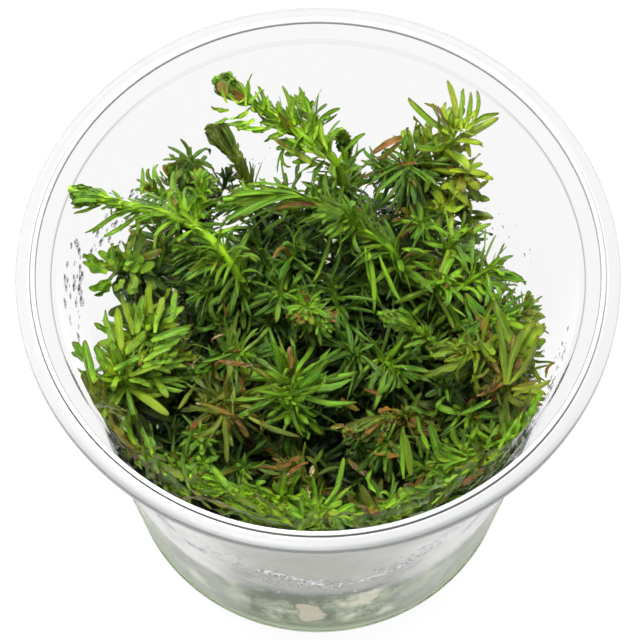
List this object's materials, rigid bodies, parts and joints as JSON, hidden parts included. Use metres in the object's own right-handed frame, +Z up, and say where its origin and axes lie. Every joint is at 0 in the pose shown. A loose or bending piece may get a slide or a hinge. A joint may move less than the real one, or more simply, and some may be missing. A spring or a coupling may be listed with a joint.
{
  "type": "rotala wallichii tissue culture in its cup",
  "caption": "Open clear plastic culture cup with nutrient jelly and a dense stand of fine-leaved Rotala wallichii shoots",
  "frame": {"origin": "middle of the cup's flat underside", "axes": "+Z up out of the cup's mouth, the picture is taken from the -Y side"},
  "size_m": [0.101, 0.101, 0.0926],
  "materials": {
    "clear_plastic": "clear thin-walled moulded plastic",
    "nutrient_jelly": "cloudy set jelly, slightly glossy",
    "leaf_bright": "fresh thin leaf with a soft wet sheen",
    "leaf_green": "fresh thin leaf with a soft wet sheen",
    "leaf_deep": "fresh thin leaf with a soft wet sheen",
    "leaf_olive": "fresh thin leaf with a soft wet sheen, brown at the tips",
    "leaf_brown": "fresh thin leaf with a soft wet sheen, partly brown or reddish"
  },
  "bodies": {
    "root": {"cup": "clear_plastic", "gel": "nutrient_jelly", "shoot_01": "leaf_bright", "shoot_02": "leaf_bright", "shoot_03": "leaf_deep", "shoot_04": "leaf_deep", "shoot_05": "leaf_green", "shoot_06": "leaf_green", "shoot_07": "leaf_green", "shoot_08": "leaf_olive", "shoot_09": "leaf_olive", "shoot_10": "leaf_deep", "shoot_11": "leaf_green", "shoot_12": "leaf_green", "shoot_13": "leaf_green", "shoot_14": "leaf_green", "shoot_15": "leaf_green", "shoot_16": "leaf_olive", "shoot_17": "leaf_olive", "shoot_18": "leaf_brown", "shoot_19": "leaf_green", "shoot_20": "leaf_green", "shoot_21": "leaf_green", "shoot_22": "leaf_deep", "shoot_23": "leaf_brown", "shoot_24": "leaf_green", "shoot_25": "leaf_bright", "shoot_26": "leaf_bright", "shoot_27": "leaf_green", "shoot_28": "leaf_bright", "shoot_29": "leaf_bright", "shoot_30": "leaf_brown", "shoot_31": "leaf_bright", "shoot_32": "leaf_green", "shoot_33": "leaf_green", "shoot_34": "leaf_green", "shoot_35": "leaf_brown", "shoot_36": "leaf_green", "shoot_37": "leaf_green", "shoot_38": "leaf_green", "shoot_39": "leaf_brown", "shoot_40": "leaf_green", "shoot_41": "leaf_brown", "shoot_42": "leaf_deep", "shoot_43": "leaf_green", "shoot_44": "leaf_deep", "shoot_45": "leaf_deep", "shoot_46": "leaf_deep", "shoot_47": "leaf_deep", "shoot_48": "leaf_deep", "shoot_49": "leaf_deep", "shoot_50": "leaf_deep", "shoot_51": "leaf_green", "shoot_52": "leaf_deep", "shoot_53": "leaf_deep"}
  },
  "joints": []
}
